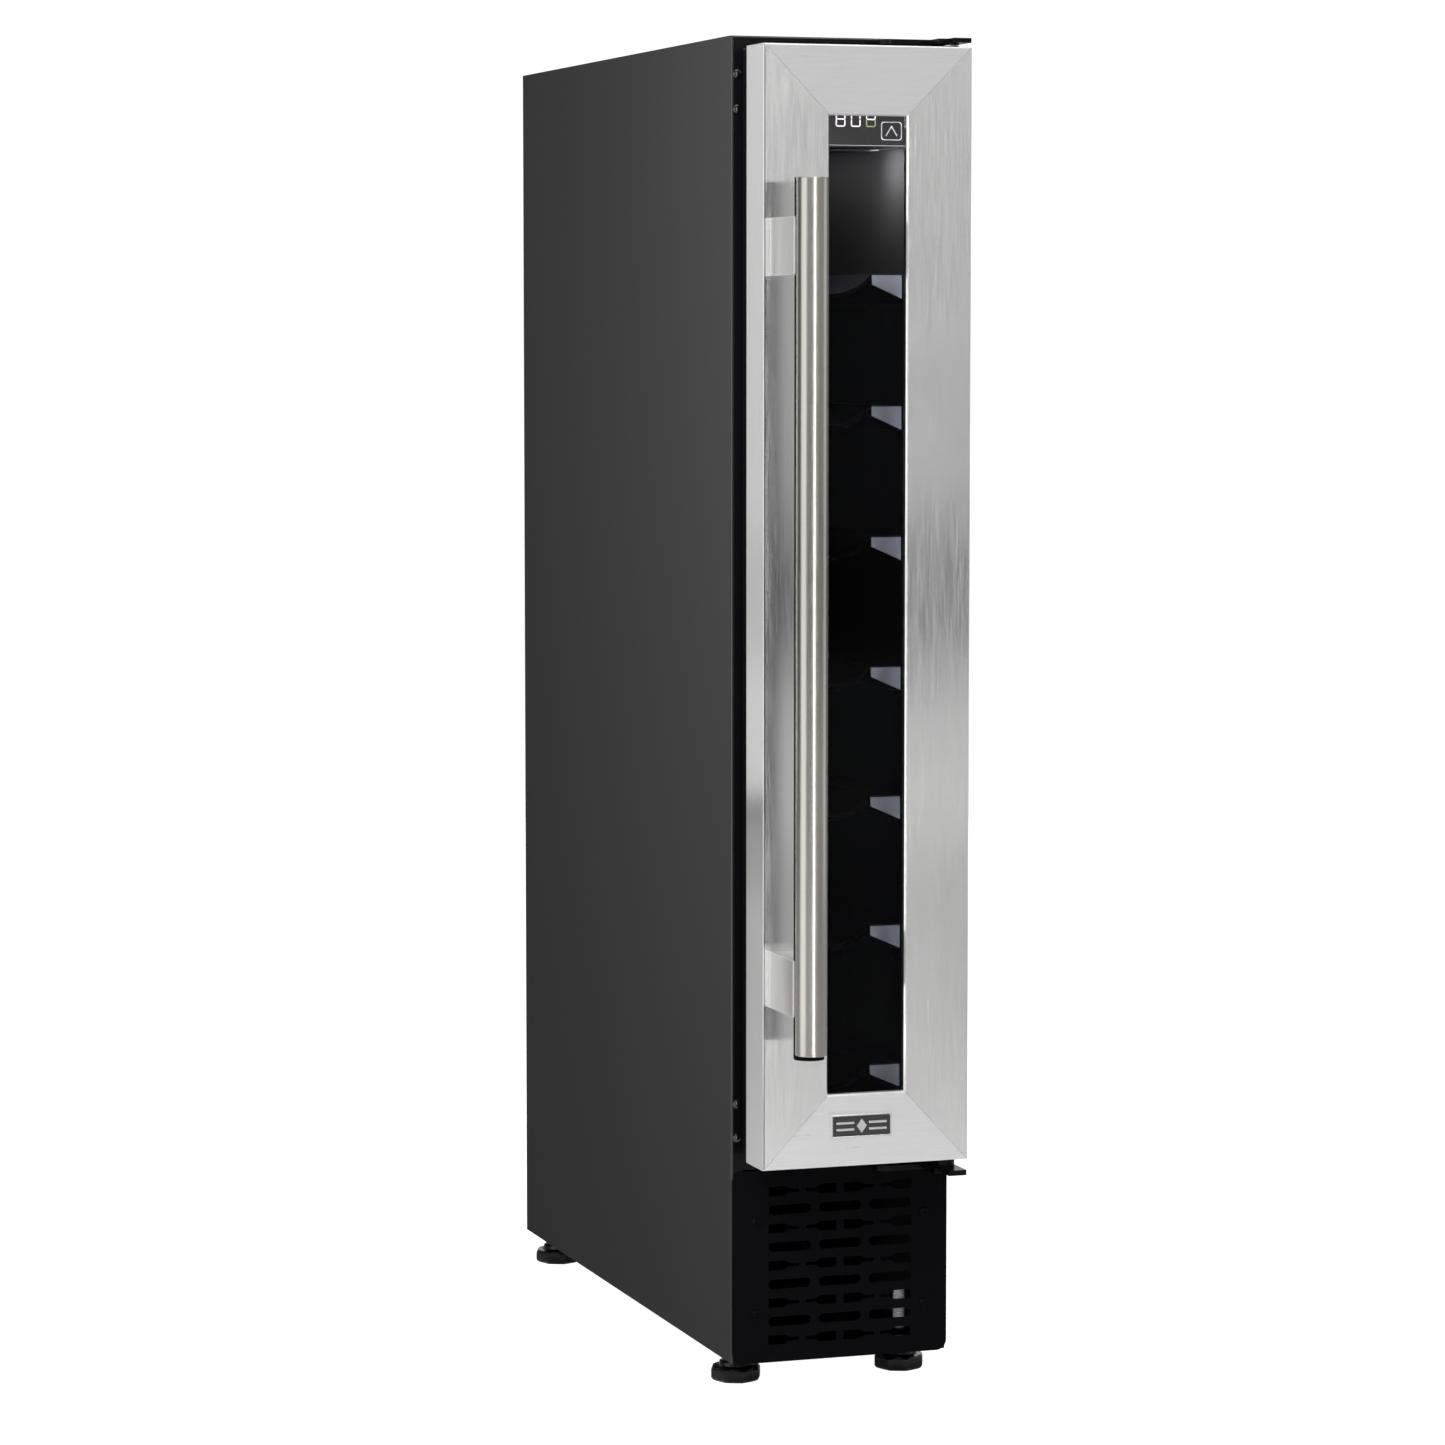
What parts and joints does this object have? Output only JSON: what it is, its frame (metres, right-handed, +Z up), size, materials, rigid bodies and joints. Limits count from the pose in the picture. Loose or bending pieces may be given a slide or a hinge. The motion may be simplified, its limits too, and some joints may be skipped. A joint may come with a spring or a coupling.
{
  "type": "slim wine cooler",
  "caption": "Slim upright under-counter wine cooler with a hinged glass door in a brushed steel frame, a long bar handle, cradle shelves, vented plinth and levelling feet.",
  "frame": {"origin": "on the floor under the feet, at the centre of the whole object's footprint, handle included", "axes": "+Z up, the door faces -Y, +X is to the right seen from the front"},
  "size_m": [0.148, 0.585, 0.87],
  "materials": {
    "side_paint": "satin charcoal powder coat",
    "black_paint": "gloss black paint",
    "door_steel": "fine brushed stainless",
    "handle_steel": "satin stainless tube",
    "black_plastic": "moulded, fine texture",
    "liner_plastic": "smooth vacuum-formed black",
    "shelf_plastic": "satin moulded",
    "display_black": "gloss panel",
    "gasket_rubber": "matt",
    "grommet_rubber": "matt",
    "outer_glass": "clear, slightly tinted",
    "inner_glass": "clear",
    "spacer_metal": "black anodised",
    "foam": "rigid polyurethane foam",
    "galvanised": "galvanised sheet",
    "zinc": "zinc plated",
    "foot_plastic": "moulded black",
    "board": "circuit board",
    "lamp_lens": "frosted lens",
    "fin_aluminium": "thin rolled fins",
    "copper": "drawn copper",
    "compressor_paint": "gloss black enamel",
    "fan_plastic": "moulded",
    "pan_plastic": "moulded grey",
    "badge_metal": "black plate with a bright rim"
  },
  "bodies": {
    "cabinet": {"base_tray": "galvanised", "cabinet_screws": "zinc", "compressor": "compressor_paint", "compressor_grommets": "grommet_rubber", "compressor_terminal_box": "black_plastic", "condenser_coil": "fin_aluminium", "condenser_fan_frame": "fan_plastic", "control_board": "board", "control_face": "display_black", "control_housing": "black_plastic", "cord_gland": "black_plastic", "drip_pan": "pan_plastic", "evaporator": "fin_aluminium", "evaporator_cover": "black_plastic", "evaporator_fan_frame": "fan_plastic", "filter_drier": "copper", "floor_cradle": "shelf_plastic", "foam_insulation": "foam", "hinge_bracket_bottom": "black_paint", "hinge_bracket_top": "black_paint", "hinge_hole_plugs": "black_plastic", "hinge_pins": "zinc", "inner_liner": "liner_plastic", "led_lamp": "lamp_lens", "left_side_panel": "side_paint", "machine_bay_roof": "galvanised", "plinth_grille": "black_paint", "rear_panel": "galvanised", "rear_vent_cover": "black_paint", "refrigerant_lines": "copper", "right_side_panel": "side_paint", "shelf_1": "shelf_plastic", "shelf_2": "shelf_plastic", "shelf_3": "shelf_plastic", "shelf_4": "shelf_plastic", "shelf_5": "shelf_plastic", "shelf_6": "shelf_plastic", "top_panel": "side_paint"},
    "door": {"door_frame_left": "door_steel", "door_frame_right": "door_steel", "door_frame_top": "door_steel", "door_frame_bottom": "door_steel", "door_core": "black_plastic", "door_glass_outer": "outer_glass", "door_glass_inner": "inner_glass", "glass_spacer": "spacer_metal", "door_liner": "black_plastic", "door_gasket": "gasket_rubber", "badge_plate": "badge_metal", "handle_bar": "handle_steel", "handle_end_plugs": "black_plastic", "handle_posts": "handle_steel", "handle_backing": "black_plastic", "hinge_bushes": "black_plastic"},
    "condenser_fan": {"condenser_fan_rotor": "fan_plastic"},
    "evaporator_fan": {"evaporator_fan_rotor": "fan_plastic"},
    "foot_front_left": {"foot_front_left": "foot_plastic"},
    "foot_front_right": {"foot_front_right": "foot_plastic"},
    "foot_rear_left": {"foot_rear_left": "foot_plastic"},
    "foot_rear_right": {"foot_rear_right": "foot_plastic"}
  },
  "joints": [
    {"name": "door_hinge", "type": "hinge", "parent": "cabinet", "child": "door", "pos_m": [0.063, -0.2095, 0.5], "axis": [0, 0, 1], "range_deg": [0, 115]},
    {"name": "condenser_fan_spin", "type": "hinge", "parent": "cabinet", "child": "condenser_fan", "pos_m": [0, -0.0105, 0.086], "axis": [0, 1, 0], "continuous": true},
    {"name": "evaporator_fan_spin", "type": "hinge", "parent": "cabinet", "child": "evaporator_fan", "pos_m": [0, 0.2255, 0.74], "axis": [0, 1, 0], "continuous": true},
    {"name": "foot_front_left_level", "type": "slide", "parent": "cabinet", "child": "foot_front_left", "axis": [0, 0, -1], "range_m": [0, 0.015]},
    {"name": "foot_front_right_level", "type": "slide", "parent": "cabinet", "child": "foot_front_right", "axis": [0, 0, -1], "range_m": [0, 0.015]},
    {"name": "foot_rear_left_level", "type": "slide", "parent": "cabinet", "child": "foot_rear_left", "axis": [0, 0, -1], "range_m": [0, 0.015]},
    {"name": "foot_rear_right_level", "type": "slide", "parent": "cabinet", "child": "foot_rear_right", "axis": [0, 0, -1], "range_m": [0, 0.015]}
  ]
}
